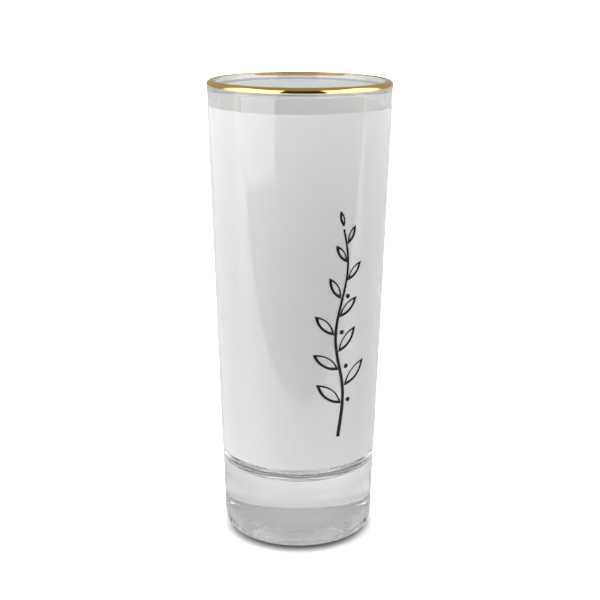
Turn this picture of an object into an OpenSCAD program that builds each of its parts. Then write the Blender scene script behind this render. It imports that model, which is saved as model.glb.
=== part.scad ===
// Tall shot glass with a thick clear base, a gilded lip and a white printed sleeve.
// It stands on its flat foot at z = 0 with its axis on Z. The front is -Y.

/* [Glass] */
// Height from the resting plane to the top of the gilded lip
height = 105; // [95:1:115]
// Outer diameter of the wall where the lip begins
mouth_d = 41; // [38:0.1:44]
// Outer diameter of the wall carried down to the resting plane
foot_d = 34.9; // [32:0.1:36]
// Thickness of the wall just above the cavity floor
wall_low = 2.2; // [2:0.1:3]
// Radius of the rounded lip
lip_r = 1.1; // [0.9:0.05:1.2]
// Height of the cavity floor above the resting plane
floor_z = 14.9; // [12:0.1:22]
// Radius of the corner between the cavity floor and the wall
floor_corner_r = 5; // [1.5:0.5:6]

/* [Foot] */
// How far the heel pulls in from the wall
heel_w = 1.2; // [0.8:0.1:2.5]
// Height over which the heel rounds into the wall
heel_h = 2.6; // [1.5:0.1:5]
// Radius of the recess under the base, at its roof
recess_r = 10.2; // [8:0.1:10.5]
// Depth of the recess at the edge of its roof
recess_depth = 2.1; // [1:0.1:2.5]
// Slope of the recess's side, in degrees from level
recess_steep = 62; // [55:1:80]
// Radius of the corner between the recess's roof and its side
recess_corner_r = 0.45; // [0.2:0.05:0.8]

/* [Decoration] */
// Thickness of the gilding over the lip
gilding_t = 0.05; // [0.03:0.01:0.1]
// How far the gilding reaches over the lip from its outer side, in degrees
gilding_reach = 120; // [100:1:180]
// Thickness of the white coating
coating_t = 0.1; // [0.05:0.01:0.2]
// Height of the coating's lower edge
coating_low = 19.5; // [18:0.5:30]
// Height of the coating's upper edge
coating_high = 99.6; // [85:0.1:100]
// Thickness of the printed ink
ink_t = 0.05; // [0.03:0.01:0.1]
// Angle of the print's centre line, turned from the front towards +X
print_turn = 29; // [0:1:60]
// Height of the foot of the print
print_low = 27; // [24:0.5:34]
// Length of the printed stem, without the leaf at its tip
sprig_h = 48; // [40:1:54]
// Number of leaves on the sprig
leaf_count = 10; // [6:1:12]

/* [Hidden] */
$fn = 96;

glass_top = height - gilding_t;
lip_z = glass_top - lip_r;
lip_overhang = 0.15;
lip_centre_r = mouth_d / 2 + lip_overhang - lip_r;
arc_steps = 12;
// The roof of the recess is a very shallow dome, and its side meets the flat foot in a small rounding
dome_h = 0.2;
dome_steps = 10;
foot_edge_r = 0.25;
roof_r = recess_r - recess_corner_r;
side_top = [
    roof_r + recess_corner_r * sin(recess_steep),
    recess_depth - recess_corner_r * (1 - cos(recess_steep))
];
side_drop = side_top.y - foot_edge_r * (1 - cos(recess_steep));
foot_inner_r = side_top.x + side_drop / tan(recess_steep) + foot_edge_r * sin(recess_steep);
gild_steps = 24;
sprig_steps = 60;
sprig_sway = 1.3;
sprig_bends = 1.5;
stem_w = 0.85;
stem_tip_w = 0.42;
leaf_line = 0.57;
leaf_gap = 0.55;
leaf_slimness = 0.33;
leaf_first_t = 0.16;
leaf_last_t = 0.92;
leaf_spread = 52;
leaf_closing = 20;
leaf_long = 7.8;
leaf_shorter = 3.4;
leaf_tip_long = 3.6;
berry_d = 1.05;
berry_out = 1.5;
berry_up = 0.9;

// Outer radius of the straight wall at height z
function wall_r(z) = foot_d / 2 + (mouth_d - foot_d) / 2 * z / lip_z;

// Points along an elliptical arc, from angle a to angle b
function arc(x, y, rx, ry, a, b, steps = arc_steps) =
    [for (i = [0:steps]) let (t = a + (b - a) * i / steps) [x + rx * cos(t), y + ry * sin(t)]];

// Height of the recess's roof at radius r
function roof_z(r) = recess_depth + dome_h * (1 - pow(r / roof_r, 2));

// Section of the recess, from the middle of its roof out to the flat foot
function recess_section() = concat(
    [for (i = [0:dome_steps - 1]) let (r = roof_r * i / dome_steps) [r, roof_z(r)]],
    arc(roof_r, recess_depth - recess_corner_r, recess_corner_r, recess_corner_r, 90, 90 - recess_steep),
    arc(foot_inner_r, foot_edge_r, foot_edge_r, foot_edge_r, 270 - recess_steep, 270)
);

// Half section of the glass, from the recess under the base, out round the wall and back to the floor
function glass_section() = concat(
    recess_section(),
    arc(wall_r(heel_h) - heel_w, heel_h, heel_w, heel_h, -90, 0),
    [[wall_r(lip_z - lip_r), lip_z - lip_r]],
    arc(lip_centre_r, lip_z, lip_r, lip_r, -20, 180),
    arc(wall_r(floor_z) - wall_low - floor_corner_r, floor_z + floor_corner_r,
        floor_corner_r, floor_corner_r, 0, -90),
    [[0, floor_z]]
);

// One pressed piece of clear glass: wall, lip, thick base, heel and broad flat foot
module glass_body() {
    color([0.86, 0.9, 0.9, 0.45])
        rotate_extrude()
            polygon(glass_section());
}

// Fired gold over the top of the lip
module rim_gilding() {
    color([0.83, 0.62, 0.22])
        rotate_extrude()
            polygon(concat(
                arc(lip_centre_r, lip_z, lip_r + gilding_t, lip_r + gilding_t, 0, gilding_reach, gild_steps),
                arc(lip_centre_r, lip_z, lip_r, lip_r, gilding_reach, 0, gild_steps)
            ));
}

// A thin sleeve on the straight wall, from one height to another, between two depths over the glass
module sleeve(low, high, inner_t, outer_t) {
    rotate_extrude()
        polygon([
            [wall_r(low) + inner_t, low],
            [wall_r(low) + outer_t, low],
            [wall_r(high) + outer_t, high],
            [wall_r(high) + inner_t, high]
        ]);
}

// Glossy white polymer coating that takes the print
module white_coating() {
    color([0.95, 0.95, 0.96])
        sleeve(coating_low, coating_high, 0, coating_t);
}

// Centre line of the stem: t runs from 0 at the foot of the sprig to 1 at its tip
function stem_point(t) = [
    sprig_sway * (0.4 + 0.6 * min(1, 3 * t)) * sin(360 * sprig_bends * t),
    sprig_h * t
];
function stem_slope(t) = stem_point(t + 0.005) - stem_point(t - 0.005);
function stem_normal(t) = let (s = stem_slope(t)) [s.y, -s.x] / norm(s);
function stem_lean(t) = let (s = stem_slope(t)) atan2(-s.x, s.y);
function stem_half_w(t) = (stem_w + (stem_tip_w - stem_w) * t) / 2;

// Outline of the stem, up its right side and down its left
function stem_outline() = concat(
    [for (i = [0:sprig_steps]) let (t = i / sprig_steps) stem_point(t) + stem_normal(t) * stem_half_w(t)],
    [for (i = [sprig_steps:-1:0]) let (t = i / sprig_steps) stem_point(t) - stem_normal(t) * stem_half_w(t)]
);

// Pointed oval from two equal arcs, standing on its lower tip
module pointed_oval(length, width) {
    r = (pow(length / 2, 2) + pow(width / 2, 2)) / width;
    translate([0, length / 2])
        intersection() {
            translate([r - width / 2, 0]) circle(r);
            translate([width / 2 - r, 0]) circle(r);
        }
}

// One leaf in outline on the given side of the stem, with a heavier line below
module leaf(length, side) {
    width = leaf_slimness * length;
    difference() {
        pointed_oval(length, width);
        translate([-side * leaf_line * 0.22, leaf_line * 1.7])
            pointed_oval(length - leaf_line * 3.4, width - leaf_line * 1.45);
    }
}

// Ink pressed onto the coating: a flat shape laid against the curve of the sleeve
module ink() {
    intersection() {
        sleeve(coating_low + 1, coating_high - 1, coating_t, coating_t + ink_t);
        rotate([0, 0, print_turn])
            translate([0, 0, print_low])
                rotate([90, 0, 0])
                    linear_extrude(mouth_d)
                        children();
    }
}

// Black print of a leafy sprig: a waving stem, leaves on alternate sides and a few berries
module printed_sprig() {
    color([0.08, 0.08, 0.08]) {
        ink() polygon(stem_outline());
        for (i = [0:leaf_count - 1]) {
            along = i / (leaf_count - 1);
            t = leaf_first_t + (leaf_last_t - leaf_first_t) * along;
            side = i % 2 == 0 ? -1 : 1;
            turn = -side * (leaf_spread - leaf_closing * along) + 0.6 * stem_lean(t);
            ink()
                translate(stem_point(t))
                    rotate(turn)
                        translate([0, leaf_gap])
                            leaf(leaf_long - leaf_shorter * pow(along, 1.2), side);
            if (i % 2 == 0 && i < leaf_count - 2)
                ink()
                    translate(stem_point(t) + [-side * berry_out, berry_up])
                        circle(d = berry_d);
        }
        ink()
            translate(stem_point(1) + [0, leaf_gap])
                rotate(stem_lean(1))
                    leaf(leaf_tip_long, -1);
    }
}

glass_body();
rim_gilding();
white_coating();
printed_sprig();
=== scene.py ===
import math

import bpy
from mathutils import Euler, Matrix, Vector


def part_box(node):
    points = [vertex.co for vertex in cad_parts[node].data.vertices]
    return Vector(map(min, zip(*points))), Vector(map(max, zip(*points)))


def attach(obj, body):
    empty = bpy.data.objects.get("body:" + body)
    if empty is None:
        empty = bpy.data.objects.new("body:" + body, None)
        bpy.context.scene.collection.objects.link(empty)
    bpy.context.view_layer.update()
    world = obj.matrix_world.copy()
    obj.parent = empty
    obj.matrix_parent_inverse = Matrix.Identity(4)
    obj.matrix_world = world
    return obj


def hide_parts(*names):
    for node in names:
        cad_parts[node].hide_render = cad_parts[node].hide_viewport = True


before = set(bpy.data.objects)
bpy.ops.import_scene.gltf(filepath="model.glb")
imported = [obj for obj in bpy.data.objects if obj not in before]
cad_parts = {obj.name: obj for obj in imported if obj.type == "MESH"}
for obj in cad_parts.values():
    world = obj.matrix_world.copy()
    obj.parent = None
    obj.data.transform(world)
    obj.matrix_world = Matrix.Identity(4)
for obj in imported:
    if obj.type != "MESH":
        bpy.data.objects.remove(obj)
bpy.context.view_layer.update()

MM = 0.001

# ---------------------------------------------------------------- sizes

# from the frame

glass_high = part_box("glass_body")[1]
gild_low, gild_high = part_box("rim_gilding")
coat_low, coat_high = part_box("white_coating")

GILDING = gild_high.z - glass_high.z        # thickness of the gilding
LIP_R = glass_high.z - gild_low.z           # radius of the rounded lip
LIP_Z = gild_low.z                          # height of the lip's centre
LIP_CENTRE_R = gild_high.x - GILDING - LIP_R

# the rest repeats the CAD part's own dimensions, which its boxes don't show, but for EDGE and SUNK
GILDING_REACH = 120                         # how far the gilding goes over the lip, in degrees
COATING = 0.1 * MM                          # thickness of the coating
EDGE = 0.04 * MM                            # bevel on the coating's edges
INK = 0.05 * MM                             # thickness of the print
SUNK = 0.02 * MM                            # how far each layer reaches into what is under it

# the wall is a straight cone, from its radius at the foot to its radius at the lip
FOOT_R = 17.45 * MM
MOUTH_R = 20.5 * MM

# inside and under the glass
FLOOR_Z = 14.9 * MM                         # height of the cavity's floor
FLOOR_CORNER = 5 * MM                       # radius of the corner between the floor and the wall
WALL_LOW = 2.2 * MM                         # thickness of the wall at the floor
HEEL_W = 1.2 * MM                           # how far the heel pulls in, and over what height
HEEL_H = 2.6 * MM
RECESS_R = 10.2 * MM                        # radius of the recess at its roof
RECESS_DEPTH = 2.1 * MM                     # depth of the recess at the edge of its roof
RECESS_DOME = 0.2 * MM                      # how much higher the middle of the roof is
RECESS_STEEP = 62                           # slope of the recess's side, in degrees
RECESS_ROUND = 0.45 * MM                    # radius between its roof and its side
FOOT_EDGE = 0.25 * MM                       # rounding where the recess meets the foot

# the print
PRINT_TURN = math.radians(29)               # how far it is turned from the front towards +X
PRINT_LOW = 27 * MM                         # height of its foot
SPRIG_H = 48 * MM                           # length of its stem

TURNS = 256                                 # steps round every turned shape
GUARD = 0.03 * MM                           # how close to a corner a straight run has its first ring
ON_AXIS = 1e-7                              # a radius below this is a point on the axis

# steps along each stretch of the sections
ROOF_STEPS, CORNER_STEPS, EDGE_STEPS = 16, 12, 8
FOOT_STEPS, HEEL_STEPS, WALL_STEPS, LIP_STEPS = 12, 24, 40, 40
FLOOR_CORNER_STEPS, FLOOR_STEPS = 64, 8
GILDING_STEPS, SLEEVE_STEPS = 48, 60
LIP_START = -20                             # where the lip's arc leaves the wall, in degrees


def wall_r(z):
    """Outer radius of the straight wall at height z."""
    return FOOT_R + (MOUTH_R - FOOT_R) * z / LIP_Z


# ---------------------------------------------------------------- mesh helpers


def make_mesh(name, verts, faces):
    mesh = bpy.data.meshes.new(name)
    mesh.from_pydata(verts, [], faces)
    mesh.validate()
    mesh.shade_smooth()
    piece = bpy.data.objects.new(name, mesh)
    bpy.context.scene.collection.objects.link(piece)
    return piece


def arc(x, z, rx, rz, start, end, steps):
    """Points along an elliptical arc between two angles in degrees."""
    points = []
    for i in range(steps + 1):
        t = math.radians(start + (end - start) * i / steps)
        points.append((x + rx * math.cos(t), z + rz * math.sin(t)))
    return points


def line(start, end, steps):
    """Points between start and end, with one close to each end that keeps shading flat up to the corner."""
    length = math.hypot(end[0] - start[0], end[1] - start[1])
    close = GUARD / length
    shares = [close] + [i / steps for i in range(1, steps) if close < i / steps < 1 - close] + [1 - close]
    return [(start[0] + (end[0] - start[0]) * t, start[1] + (end[1] - start[1]) * t) for t in shares]


def lathe(name, section, closed):
    """Turns a section about Z. A closed section is a ring; an open one begins and ends on the axis."""
    verts, faces = [], []
    rings = []
    for r, z in section:
        if r < ON_AXIS:
            rings.append([len(verts)] * TURNS)
            verts.append((0, 0, z))
        else:
            rings.append(list(range(len(verts), len(verts) + TURNS)))
            for i in range(TURNS):
                a = math.tau * i / TURNS
                verts.append((r * math.cos(a), r * math.sin(a), z))
    pairs = list(zip(rings, rings[1:]))
    if closed:
        pairs.append((rings[-1], rings[0]))
    for low, high in pairs:
        for i in range(TURNS):
            j = (i + 1) % TURNS
            face = [low[i], low[j], high[j], high[i]]
            faces.append(list(dict.fromkeys(face)))
    return make_mesh(name, verts, faces)


# ---------------------------------------------------------------- the glass


def recess_section():
    """From the middle of the base out to the flat foot: a shallow dome, a round corner and a sloping side."""
    steep = math.radians(RECESS_STEEP)
    turn_r = RECESS_R - RECESS_ROUND
    section = [(0, RECESS_DEPTH + RECESS_DOME)]
    for i in range(1, ROOF_STEPS):
        share = i / ROOF_STEPS
        section.append((turn_r * share, RECESS_DEPTH + RECESS_DOME * (1 - share ** 2)))
    corner_z = RECESS_DEPTH - RECESS_ROUND
    corner = arc(turn_r, corner_z, RECESS_ROUND, RECESS_ROUND, 90, 90 - RECESS_STEEP, CORNER_STEPS)
    drop = corner[-1][1] - FOOT_EDGE * (1 - math.cos(steep))
    edge_r = corner[-1][0] + drop / math.tan(steep) + FOOT_EDGE * math.sin(steep)
    edge = arc(edge_r, FOOT_EDGE, FOOT_EDGE, FOOT_EDGE, 270 - RECESS_STEEP, 270, EDGE_STEPS)
    return section + corner + line(corner[-1], edge[0], CORNER_STEPS) + edge


def glass_section():
    """From the recess under the base out round the foot, heel, wall and lip, and back down to the floor."""
    section = recess_section()
    heel_r = wall_r(HEEL_H) - HEEL_W
    section += line(section[-1], (heel_r, 0), FOOT_STEPS)
    section += arc(heel_r, HEEL_H, HEEL_W, HEEL_H, -90, 0, HEEL_STEPS)
    shoulder = LIP_Z - LIP_R
    section += line(section[-1], (wall_r(shoulder), shoulder), WALL_STEPS)
    section += [(wall_r(shoulder), shoulder)]
    section += arc(LIP_CENTRE_R, LIP_Z, LIP_R, LIP_R, LIP_START, 180, LIP_STEPS)
    corner_r = wall_r(FLOOR_Z) - WALL_LOW - FLOOR_CORNER
    corner_z = FLOOR_Z + FLOOR_CORNER
    section += line(section[-1], (corner_r + FLOOR_CORNER, corner_z), WALL_STEPS)
    section += arc(corner_r, corner_z, FLOOR_CORNER, FLOOR_CORNER, 0, -90, FLOOR_CORNER_STEPS)
    section += line(section[-1], (0, FLOOR_Z), FLOOR_STEPS)
    section.append((0, FLOOR_Z))
    return section


def make_glass():
    """One turned piece: wall, lip, thick base, heel, foot and recess."""
    glass = lathe("clear_tumbler", glass_section(), closed=False)
    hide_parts("glass_body")
    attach(glass, "root")
    return glass


# ---------------------------------------------------------------- gilding and coating


def make_gilding():
    """A thin band over the lip, from its outer side over its top and a little way down its inner side."""
    outer, inner = LIP_R + GILDING, LIP_R - SUNK
    section = arc(LIP_CENTRE_R, LIP_Z, outer, outer, 0, GILDING_REACH, GILDING_STEPS)
    section += arc(LIP_CENTRE_R, LIP_Z, inner, inner, GILDING_REACH, 0, GILDING_STEPS)
    gilding = lathe("gold_lip_band", section, closed=True)
    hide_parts("rim_gilding")
    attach(gilding, "root")
    return gilding


def make_coating():
    """A thin sleeve round the straight wall, with a small bevel along both of its edges."""
    low, high = coat_low.z, coat_high.z
    outside = [(wall_r(low) + COATING, low + EDGE), (wall_r(high) + COATING, high - EDGE)]
    section = [(wall_r(low) - SUNK, low), (wall_r(low) + COATING - EDGE, low), outside[0]]
    section += line(*outside, SLEEVE_STEPS)
    section += [outside[1], (wall_r(high) + COATING - EDGE, high), (wall_r(high) - SUNK, high)]
    coating = lathe("white_sleeve", section, closed=True)
    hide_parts("white_coating")
    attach(coating, "root")
    return coating


# ---------------------------------------------------------------- the printed sprig

# the stem sways from side to side, by less than its full sway in its lowest third
SWAY, SWAY_AT_FOOT = 1.3 * MM, 0.4
BENDS = 1.5                                 # waves along the stem
STEM_W, STEM_TIP_W = 0.85 * MM, 0.42 * MM   # width of the stem at its foot and at its tip
SLOPE_STEP = 0.005                          # share of the stem over which its slope is taken

LEAF_COUNT = 10
LEAF_FIRST_T, LEAF_LAST_T = 0.16, 0.92      # where along the stem the first leaf and the last one grow
LEAF_SPREAD, LEAF_CLOSING = 52, 20          # lean of the lowest leaf, and how much less the last one leans
LEAF_FOLLOW = 0.6                           # how much a leaf turns with the stem
# length of the lowest leaf, how much shorter the last one is, and length of the leaf at the tip
LEAF_LONG, LEAF_SHORTER, LEAF_TIP_LONG = 7.8 * MM, 3.4 * MM, 3.6 * MM
LEAF_TAPER = 1.2                            # how late along the stem the leaves grow shorter
LEAF_GAP = 0.55 * MM                        # between the stem's centre line and a leaf
LEAF_SLIMNESS = 0.33                        # width of a leaf as a share of its length

# a leaf is an outline; its opening is set in from it by these multiples of the line
LEAF_LINE = 0.57 * MM
LEAF_TIP_INSET, LEAF_SIDE_INSETS, LEAF_OFFSET = 1.7, 1.45, 0.22

# diameter of a berry, and how far it is beside the stem and above the foot of its leaf
BERRY_D, BERRY_OUT, BERRY_UP = 1.05 * MM, 1.5 * MM, 0.9 * MM
BERRY_CORE = 0.02                           # a berry is a ring that is nearly closed in its middle

STEM_STEPS, OVAL_STEPS, BERRY_STEPS = 160, 36, 24


def stem_point(t):
    """Centre line of the stem: t runs from 0 at its foot to 1 at its tip."""
    sway = SWAY * (SWAY_AT_FOOT + (1 - SWAY_AT_FOOT) * min(1, 3 * t)) * math.sin(math.tau * BENDS * t)
    return Vector((sway, SPRIG_H * t))


def stem_slope(t):
    return (stem_point(t + SLOPE_STEP) - stem_point(t - SLOPE_STEP)).normalized()


def stem_lean(t):
    """Angle between the stem and the vertical, in radians."""
    slope = stem_slope(t)
    return math.atan2(-slope.x, slope.y)


def turned(point, angle):
    """The point turned about the origin."""
    c, s = math.cos(angle), math.sin(angle)
    return Vector((point.x * c - point.y * s, point.x * s + point.y * c))


def pointed_oval(length, width):
    """Closed outline of two equal arcs that stands on its lower tip, as a list of points."""
    r = ((length / 2) ** 2 + (width / 2) ** 2) / width
    reach = math.asin(length / 2 / r)
    right = []
    for i in range(OVAL_STEPS + 1):
        a = -reach + 2 * reach * i / OVAL_STEPS
        right.append(Vector((r * math.cos(a) - r + width / 2, r * math.sin(a) + length / 2)))
    left = [Vector((-p.x, p.y)) for p in reversed(right)]
    return right[:-1] + left[:-1]


def leaf_loops(length, side):
    """The outline of a leaf and of the opening in it, which leaves a heavier line below."""
    width = LEAF_SLIMNESS * length
    shift = Vector((-side * LEAF_LINE * LEAF_OFFSET, LEAF_LINE * LEAF_TIP_INSET))
    opening = pointed_oval(length - 2 * LEAF_LINE * LEAF_TIP_INSET, width - LEAF_LINE * LEAF_SIDE_INSETS)
    return pointed_oval(length, width), [p + shift for p in opening]


def on_sleeve(point, depth):
    """A point of the flat print, laid on the coating and raised by depth."""
    z = PRINT_LOW + point.y
    r = wall_r(z) + COATING + depth
    a = PRINT_TURN + math.asin(point.x / r)
    return (r * math.sin(a), -r * math.cos(a), z)


class Ink:
    """Collects inked strips between two rows of points, each a thin closed solid on the sleeve."""

    def __init__(self):
        self.verts, self.faces = [], []

    def strip(self, left, right, loop=False):
        base = len(self.verts)
        count = len(left)
        for a, b in zip(left, right):
            self.verts += [on_sleeve(p, depth) for depth in (INK, -SUNK) for p in (a, b)]
        for i in range(count if loop else count - 1):
            p, q = base + 4 * i, base + 4 * ((i + 1) % count)
            self.faces += [(p, p + 1, q + 1, q), (p + 2, q + 2, q + 3, p + 3)]
            self.faces += [(p, q, q + 2, p + 2), (p + 1, p + 3, q + 3, q + 1)]
        if not loop:
            last = base + 4 * (count - 1)
            self.faces += [(base, base + 2, base + 3, base + 1), (last, last + 1, last + 3, last + 2)]


def draw_stem(ink):
    left, right = [], []
    for i in range(STEM_STEPS + 1):
        t = i / STEM_STEPS
        half = (STEM_W + (STEM_TIP_W - STEM_W) * t) / 2
        slope = stem_slope(t)
        across = Vector((slope.y, -slope.x)) * half
        left.append(stem_point(t) - across)
        right.append(stem_point(t) + across)
    ink.strip(left, right)


def draw_leaf(ink, foot, turn, length, side, gap):
    """A leaf that starts a gap away from the given foot, turned by an angle in radians."""
    outer, inner = leaf_loops(length, side)
    place = [[foot + turned(p + gap, turn) for p in loop] for loop in (inner, outer)]
    ink.strip(place[0], place[1], loop=True)


def draw_berry(ink, centre):
    ring = [centre + turned(Vector((BERRY_D / 2, 0)), math.tau * k / BERRY_STEPS) for k in range(BERRY_STEPS)]
    core = [centre + (p - centre) * BERRY_CORE for p in ring]
    ink.strip(core, ring, loop=True)


def make_sprig():
    """A waving stem with leaves on alternate sides, a few berries and a leaf at its tip."""
    ink = Ink()
    draw_stem(ink)
    gap = Vector((0, LEAF_GAP))
    for i in range(LEAF_COUNT):
        along = i / (LEAF_COUNT - 1)
        t = LEAF_FIRST_T + (LEAF_LAST_T - LEAF_FIRST_T) * along
        side = -1 if i % 2 == 0 else 1
        turn = math.radians(-side * (LEAF_SPREAD - LEAF_CLOSING * along)) + LEAF_FOLLOW * stem_lean(t)
        length = LEAF_LONG - LEAF_SHORTER * along ** LEAF_TAPER
        draw_leaf(ink, stem_point(t), turn, length, side, gap)
        if i % 2 == 0 and i < LEAF_COUNT - 2:
            draw_berry(ink, stem_point(t) + Vector((-side * BERRY_OUT, BERRY_UP)))
    draw_leaf(ink, stem_point(1) + gap, stem_lean(1), LEAF_TIP_LONG, -1, Vector((0, 0)))
    sprig = make_mesh("leaf_sprig_print", ink.verts, ink.faces)
    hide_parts("printed_sprig")
    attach(sprig, "root")
    return sprig


# ---------------------------------------------------------------- materials

GLASS_COLOUR = (0.975, 0.98, 0.98)
GLASS_IOR = 1.52
GOLD_COLOUR = (0.84, 0.57, 0.19)
COATING_COLOUR = (0.95, 0.95, 0.955)
COATING_IOR = 1.5
COATING_SCATTER = 0.65 * MM                 # how far light spreads inside the coating
INK_COLOUR = (0.009, 0.009, 0.01)
INK_SHINE = 0.12
TABLE_ROUGHNESS, TABLE_SHINE = 0.9, 0.1


def new_material(name, colour):
    mat = bpy.data.materials.new(name)
    mat.use_nodes = True
    nodes, links = mat.node_tree.nodes, mat.node_tree.links
    shader = nodes["Principled BSDF"]
    shader.inputs["Base Color"].default_value = (*colour, 1)
    return mat, nodes, links, shader


def noise(nodes, links, scale, detail, stretch=(1, 1, 1)):
    """Noise in the object's own space, with a scale in features per metre."""
    place = nodes.new("ShaderNodeTexCoord")
    size = nodes.new("ShaderNodeMapping")
    size.inputs["Scale"].default_value = stretch
    tex = nodes.new("ShaderNodeTexNoise")
    tex.inputs["Scale"].default_value = scale
    tex.inputs["Detail"].default_value = detail
    links.new(place.outputs["Object"], size.inputs["Vector"])
    links.new(size.outputs["Vector"], tex.inputs["Vector"])
    return tex


def vary(nodes, links, tex, socket, low, high):
    """Drives a socket with a texture between two values."""
    spread = nodes.new("ShaderNodeMapRange")
    spread.inputs["To Min"].default_value = low
    spread.inputs["To Max"].default_value = high
    links.new(tex.outputs["Fac"], spread.inputs["Value"])
    links.new(spread.outputs["Result"], socket)


def bump(nodes, links, tex, shader, height):
    """Raises the surface by up to height metres where the texture is light."""
    node = nodes.new("ShaderNodeBump")
    node.inputs["Distance"].default_value = height
    node.inputs["Strength"].default_value = 1
    links.new(tex.outputs["Fac"], node.inputs["Height"])
    links.new(node.outputs["Normal"], shader.inputs["Normal"])


def glass_material():
    """Clear glass with the faint upright ripple that pressing leaves."""
    mat, nodes, links, shader = new_material("clear_soda_glass", GLASS_COLOUR)
    shader.inputs["Transmission Weight"].default_value = 1
    shader.inputs["IOR"].default_value = GLASS_IOR
    shader.inputs["Roughness"].default_value = 0
    ripple = noise(nodes, links, scale=180, detail=1, stretch=(1, 1, 0.35))
    bump(nodes, links, ripple, shader, height=0.02 * MM)
    return mat


def gold_material():
    """Bright fired gold with fine streaks in its gloss."""
    mat, nodes, links, shader = new_material("fired_gold", GOLD_COLOUR)
    shader.inputs["Metallic"].default_value = 1
    streaks = noise(nodes, links, scale=900, detail=3, stretch=(1, 1, 3))
    vary(nodes, links, streaks, shader.inputs["Roughness"], low=0.03, high=0.09)
    bump(nodes, links, streaks, shader, height=0.004 * MM)
    return mat


def coating_material():
    """Glossy white polymer that scatters light, with a slight orange peel."""
    mat, nodes, links, shader = new_material("white_gloss_polymer", COATING_COLOUR)
    peel = noise(nodes, links, scale=700, detail=2)
    vary(nodes, links, peel, shader.inputs["Roughness"], low=0.03, high=0.06)
    shader.inputs["IOR"].default_value = COATING_IOR
    shader.inputs["Subsurface Weight"].default_value = 1
    shader.inputs["Subsurface Radius"].default_value = (1, 1, 1)
    shader.inputs["Subsurface Scale"].default_value = COATING_SCATTER
    bump(nodes, links, peel, shader, height=0.002 * MM)
    return mat


def ink_material():
    """Black dye with a fine grain in its gloss."""
    mat, nodes, links, shader = new_material("black_print_dye", INK_COLOUR)
    grain = noise(nodes, links, scale=2500, detail=3)
    vary(nodes, links, grain, shader.inputs["Roughness"], low=0.08, high=0.16)
    shader.inputs["Specular IOR Level"].default_value = INK_SHINE
    return mat


def matt(name, colour):
    mat, nodes, links, shader = new_material(name, colour)
    shader.inputs["Roughness"].default_value = TABLE_ROUGHNESS
    shader.inputs["Specular IOR Level"].default_value = TABLE_SHINE
    return mat, nodes, links, shader


class Sums:
    """Builds arithmetic out of nodes. Each value is a number or another node's output."""

    def __init__(self, nodes, links):
        self.nodes, self.links = nodes, links

    def math(self, kind, *values):
        node = self.nodes.new("ShaderNodeMath")
        node.operation = kind
        for socket, value in zip(node.inputs, values):
            if isinstance(value, (int, float)):
                socket.default_value = value
            else:
                self.links.new(value, socket)
        return node.outputs[0]

    def less(self, a, b):
        return self.math("SUBTRACT", a, b)

    def times(self, a, b):
        return self.math("MULTIPLY", a, b)

    def above(self, value, limit):
        """1 where the value is above the limit, and 0 elsewhere."""
        return self.math("GREATER_THAN", value, limit)

    def ease(self, value, low, high):
        """Rises smoothly from 0 at low to 1 at high."""
        node = self.nodes.new("ShaderNodeMapRange")
        node.interpolation_type = "SMOOTHSTEP"
        node.inputs["From Min"].default_value = low
        node.inputs["From Max"].default_value = high
        self.links.new(value, node.inputs["Value"])
        return node.outputs["Result"]

    def mix(self, share, a, b):
        """From a, where the share is 0, to b, where it is 1."""
        return self.math("ADD", self.times(self.less(1, share), a), self.times(share, b))

    def length(self, vector):
        node = self.nodes.new("ShaderNodeVectorMath")
        node.operation = "LENGTH"
        self.links.new(vector, node.inputs[0])
        return node.outputs["Value"]

    def split(self, vector):
        node = self.nodes.new("ShaderNodeSeparateXYZ")
        self.links.new(vector, node.inputs["Vector"])
        return node.outputs


# ---------------------------------------------------------------- light tent

# Brightness of each part of the tent where it shows in the gold, glass and coating, and where it
# lights the table and the coating: left, right, top, front, and the rest
SEEN_LEFT, SEEN_RIGHT, SEEN_TOP, SEEN_FRONT, SEEN_REST = 3.6, 3.5, 0.33, 0.04, 0.42
LIT_LEFT, LIT_RIGHT, LIT_TOP, LIT_FRONT, LIT_REST = 2.7, 1.78, 0.0, 0.34, 1.47
SEEN_THROUGH = 0.35                         # how strongly the tent shows inside the clear glass
LIT_THROUGH = 0.92                          # how strongly it lights what lies inside or under the glass

# angles round the tent from the middle of its opening, and above the table, in degrees
GAP_TURN = 4.5                              # the opening is a little to the right of the camera
GAP_EDGE = (25, 31)                         # where the opening gives way to the sides
SIDE_EDGE = (95, 115)                       # where the sides give way to the back
TOP_EDGE = (44, 60)                         # where the walls give way to the top

DEEPER = 0.5                                # a ray whose depth is above this has met such a surface
DEGREES = math.degrees(1)


def tent_level(sums, masks, left, right, top, front, rest):
    """Brightness of the tent in every direction, from the brightness of its parts."""
    on_right, beside, ahead, above = masks
    tone = sums.mix(above, rest, top)
    tone = sums.mix(beside, tone, sums.mix(on_right, left, right))
    return sums.mix(ahead, tone, front)


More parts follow.
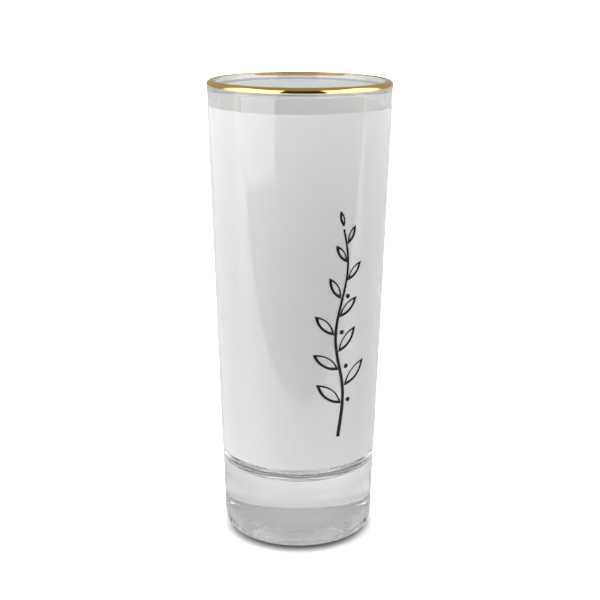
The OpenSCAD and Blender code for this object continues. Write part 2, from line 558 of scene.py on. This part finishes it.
def make_world():
    """A white light tent round the table, open at the front where the camera stands."""
    world = bpy.data.worlds.new("light_tent")
    world.use_nodes = True
    world.cycles.sampling_method = "NONE"
    nodes, links = world.node_tree.nodes, world.node_tree.links
    sums = Sums(nodes, links)
    place = nodes.new("ShaderNodeTexCoord")
    x, y, z = sums.split(place.outputs["Generated"])
    turn = sums.times(sums.math("ARCTAN2", x, sums.times(y, -1)), DEGREES)
    turn = sums.math("ABSOLUTE", sums.less(turn, GAP_TURN))
    rise = sums.times(sums.math("ARCSINE", z), DEGREES)
    above = sums.ease(rise, *TOP_EDGE)
    low = sums.less(1, above)
    aside = sums.ease(turn, *GAP_EDGE)
    ahead = sums.times(sums.less(1, aside), low)
    beside = sums.times(sums.times(aside, sums.less(1, sums.ease(turn, *SIDE_EDGE))), low)
    masks = (sums.above(x, 0), beside, ahead, above)
    seen = tent_level(sums, masks, SEEN_LEFT, SEEN_RIGHT, SEEN_TOP, SEEN_FRONT, SEEN_REST)
    lit = tent_level(sums, masks, LIT_LEFT, LIT_RIGHT, LIT_TOP, LIT_FRONT, LIT_REST)
    path = nodes.new("ShaderNodeLightPath")
    lighting = sums.above(path.outputs["Diffuse Depth"], DEEPER)
    inside = sums.above(path.outputs["Transmission Depth"], DEEPER)
    seen = sums.mix(inside, seen, sums.mix(SEEN_THROUGH, SEEN_REST, seen))
    lit = sums.mix(inside, lit, sums.times(lit, LIT_THROUGH))
    tone = sums.mix(lighting, seen, lit)
    # the backdrop itself is plain white
    tent = nodes["Background"]
    links.new(sums.mix(path.outputs["Is Camera Ray"], tone, 1), tent.inputs["Color"])
    bpy.context.scene.world = world


# ---------------------------------------------------------------- table

TABLE_HALF = 12.0
TABLE_COLOUR = (0.9, 0.9, 0.9)

# tone of the table, by how a ray comes to it
FLOOR_SEEN = 2.0                            # in plain sight
FLOOR_BOUNCE = 0.74                         # where it sends light up onto the glass
FLOOR_UNDER_PAINTED_LIGHT = 1.6                           # through the glass, under the base: painted light, brighter than round the base
FLOOR_THROUGH = 0.7                         # through the glass, round the base
FLOOR_THROUGH_PAINTED_SHADE_FAR = 0.62                    # through the glass, far behind it: painted shade, darker than near the glass
FLOOR_MIRRORED = 2.0                        # in reflections, in front of the glass
FLOOR_MIRRORED_PAINTED_SHADE = 0.75                   # in reflections, beside the glass and behind it: painted shade, darker than in front
PAINTED_LIGHT_UNDER_EDGE = (12 * MM, 14 * MM)             # radii where the painted light under the base gives way
PAINTED_SHADE_FAR_EDGE = (0.15, 0.7)                      # how far back the painted shade through the glass sets in
MIRRORED_PAINTED_SHADE_EDGE = (-0.04, -0.005)             # where the painted shade in reflections sets in

# the soft shade painted on the table round the foot, an ellipse in front of the axis and another behind it
SHADE_WIDE = 13.4 * MM                      # half width and half length of its darkest part
SHADE_LONG = 12.6 * MM
SHADE_OFF = 4 * MM                          # how far from the axis the ellipses are centred
SHADE_FADE = 0.3                            # how softly they end
SHADE_AHEAD, SHADE_BEHIND = 0.92, 0.5       # how dark they are

# a dark sheet that shows only in reflections lies over the front of the table, painted shade for the unlit
# side where the camera stands, and its edge isn't quite square to the camera
DARK_SHEET_HALF = 3.0
DARK_SHEET_EDGE = 0.1                            # how far in front of the glass it starts
DARK_SHEET_TURN = 3.5                            # in degrees
DARK_SHEET_TONE = 0.1

# a bright sheet that shows only in reflections lies on the left of the dark sheet, in a bent strip between
# two distances from the glass, a painted reflection of light
BRIGHT_SHEET_NEAR, BRIGHT_SHEET_FAR = 0.38, 0.72
BRIGHT_SHEET_TURNS = [math.radians(a) for a in (-76, -60, -45, -30)]
BRIGHT_SHEET_TONE = 3.6


def flat_sheet(name, corners, z):
    sheet = make_mesh(name, [(x, y, z) for x, y in corners], [tuple(range(len(corners)))])
    return sheet


def painted_soft_shade(nodes, links, sums, place, middle, deep):
    """Share of light taken from the table by a painted elliptical shade with its middle at the given y."""
    shift = nodes.new("ShaderNodeMapping")
    shift.vector_type = "TEXTURE"
    shift.inputs["Location"].default_value = (0, middle, 0)
    shift.inputs["Scale"].default_value = (SHADE_WIDE, SHADE_LONG, 1)
    links.new(place, shift.inputs["Vector"])
    reach = sums.length(shift.outputs["Vector"])
    away = sums.math("DIVIDE", sums.math("MAXIMUM", sums.less(reach, 1), 0), SHADE_FADE)
    fall = sums.math("EXPONENT", sums.times(sums.times(away, away), -1))
    return sums.times(fall, deep)


def make_floor():
    h = TABLE_HALF
    floor = flat_sheet("studio_floor", [(-h, -h), (h, -h), (h, h), (-h, h)], -SUNK)
    mat, nodes, links, shader = matt("matt_white_table", TABLE_COLOUR)
    sums = Sums(nodes, links)
    place = nodes.new("ShaderNodeTexCoord").outputs["Object"]
    # painted shade round the foot, darker in front and fainter behind, taken out of the table's colour
    ahead = painted_soft_shade(nodes, links, sums, place, -SHADE_OFF, SHADE_AHEAD)
    behind = painted_soft_shade(nodes, links, sums, place, SHADE_OFF, SHADE_BEHIND)
    seen = sums.times(FLOOR_SEEN, sums.less(1, sums.math("MAXIMUM", ahead, behind)))
    back = sums.split(place)["Y"]
    # painted shade: through the glass the table grows darker far behind it
    through = sums.mix(sums.ease(back, *PAINTED_SHADE_FAR_EDGE), FLOOR_THROUGH, FLOOR_THROUGH_PAINTED_SHADE_FAR)
    # painted light: through the glass the table is brighter under the base than round it
    through = sums.mix(sums.ease(sums.length(place), *PAINTED_LIGHT_UNDER_EDGE), FLOOR_UNDER_PAINTED_LIGHT, through)
    # painted shade: in reflections the table is darker beside and behind the glass than in front
    mirrored = sums.mix(sums.ease(back, *MIRRORED_PAINTED_SHADE_EDGE), FLOOR_MIRRORED, FLOOR_MIRRORED_PAINTED_SHADE)
    path = nodes.new("ShaderNodeLightPath")
    bounced = sums.above(path.outputs["Diffuse Depth"], DEEPER)
    # the tent lights the table less through the glass, and its tone there makes up for that
    tone = sums.mix(bounced, sums.math("DIVIDE", through, LIT_THROUGH), FLOOR_BOUNCE)
    in_mirror = sums.times(path.outputs["Is Reflection Ray"], path.outputs["Is Glossy Ray"])
    tone = sums.mix(in_mirror, tone, mirrored)
    links.new(sums.mix(path.outputs["Is Camera Ray"], tone, seen), shader.inputs["Base Color"])
    floor.data.materials.append(mat)


def mirror_only(name, corners, z, tone):
    """A sheet on the table that shows only in reflections, where it paints a reflection of shade or light."""
    sheet = flat_sheet(name, corners, z)
    sheet.data.materials.append(matt(name, (tone,) * 3)[0])
    sheet.visible_camera = False
    sheet.visible_diffuse = False
    sheet.visible_shadow = False
    sheet.visible_transmission = False


def make_dark_reflection_sheet():
    h = DARK_SHEET_HALF
    slope = math.tan(math.radians(DARK_SHEET_TURN))
    edge = [(h, -DARK_SHEET_EDGE + slope * h), (-h, -DARK_SHEET_EDGE - slope * h)]
    # painted shade: a dark sheet seen only in reflections of the front of the table
    mirror_only("painted_dark_reflection", [(-h, -h), (h, -h)] + edge, SUNK, DARK_SHEET_TONE)


def make_bright_reflection_sheet():
    corners = [(BRIGHT_SHEET_FAR * math.sin(a), -BRIGHT_SHEET_FAR * math.cos(a)) for a in BRIGHT_SHEET_TURNS]
    corners += [(BRIGHT_SHEET_NEAR * math.sin(a), -BRIGHT_SHEET_NEAR * math.cos(a)) for a in reversed(BRIGHT_SHEET_TURNS)]
    # painted reflection: a sheet brighter than the lit table, seen only in reflections
    mirror_only("painted_bright_reflection", corners, 2 * SUNK, BRIGHT_SHEET_TONE)


# ---------------------------------------------------------------- camera

CAMERA_BACK, CAMERA_HIGH = 0.2611, 0.1282   # metres in front of the axis and above the table
CAMERA_PITCH, CAMERA_ROLL, CAMERA_YAW = 0.2755, 0.0048, 0.001  # radians
CAMERA_LENS = 70.1                          # millimetres
CAMERA_CLIP = 0.01


def make_camera():
    """The photograph's viewing angle: close to the glass, a little above it and looking down."""
    data = bpy.data.cameras.new("camera")
    data.lens = CAMERA_LENS
    data.clip_start = CAMERA_CLIP
    camera = bpy.data.objects.new("camera", data)
    camera.location = (0, -CAMERA_BACK, CAMERA_HIGH)
    aim = Euler((math.pi / 2 - CAMERA_PITCH, 0, -CAMERA_YAW), "XYZ").to_matrix()
    tilt = Euler((0, 0, CAMERA_ROLL), "XYZ").to_matrix()
    camera.rotation_euler = (aim @ tilt).to_euler()
    bpy.context.scene.collection.objects.link(camera)
    bpy.context.scene.camera = camera


def set_view():
    """True colours, and enough bounces for light to cross the thick base."""
    scene = bpy.context.scene
    scene.view_settings.view_transform = "Standard"
    scene.cycles.max_bounces = 16
    scene.cycles.transmission_bounces = 16
    scene.cycles.glossy_bounces = 8
    scene.cycles.diffuse_bounces = 8


make_camera()
set_view()
make_world()
make_floor()
make_dark_reflection_sheet()
make_bright_reflection_sheet()
make_glass().data.materials.append(glass_material())
make_gilding().data.materials.append(gold_material())
make_coating().data.materials.append(coating_material())
make_sprig().data.materials.append(ink_material())
